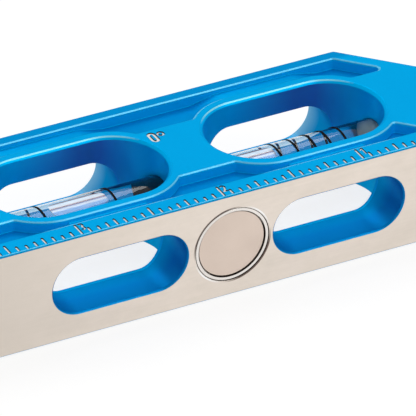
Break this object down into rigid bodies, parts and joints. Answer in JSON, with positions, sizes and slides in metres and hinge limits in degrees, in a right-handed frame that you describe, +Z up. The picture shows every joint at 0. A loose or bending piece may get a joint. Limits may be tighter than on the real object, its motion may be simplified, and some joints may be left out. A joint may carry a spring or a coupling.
{
  "type": "pocket spirit level",
  "caption": "Short blue anodised aluminium spirit level with windowed clear vials, an inch rule along one side, and a magnet in its bare machined working edge.",
  "frame": {"origin": "centre of the broad side it lies on, at floor height", "axes": "+X along the ruled edge towards the ruler's zero, -Y out of the bare machined working edge, +Z up out of the ruled broad side"},
  "size_m": [0.1016, 0.031, 0.0191],
  "materials": {
    "body_blue": "satin blue anodised, bare machined working edge",
    "vial_clear": "clear gloss acrylic",
    "vial_liquid": "clear pale blue liquid",
    "plug_black": "gloss black",
    "plug_grey": "gloss grey",
    "ring_black": "printed black",
    "cup_steel": "plated",
    "magnet_disc": "nickel plated"
  },
  "bodies": {
    "root": {"body": "body_blue", "bore_plug": "body_blue", "vial_tube_level": "vial_clear", "vial_tube_pitch": "vial_clear", "vial_liquid_level": "vial_liquid", "vial_liquid_pitch": "vial_liquid", "vial_plug_level_left": "plug_black", "vial_plug_level_right": "plug_black", "vial_plug_pitch_left": "plug_grey", "vial_plug_pitch_right": "plug_grey", "ring_level_left": "ring_black", "ring_level_right": "ring_black", "magnet_cup": "cup_steel", "magnet": "magnet_disc", "ring_pitch_1": "ring_black", "ring_pitch_2": "ring_black", "ring_pitch_3": "ring_black", "ring_pitch_4": "ring_black", "ring_pitch_5": "ring_black", "ring_pitch_6": "ring_black"}
  },
  "joints": []
}
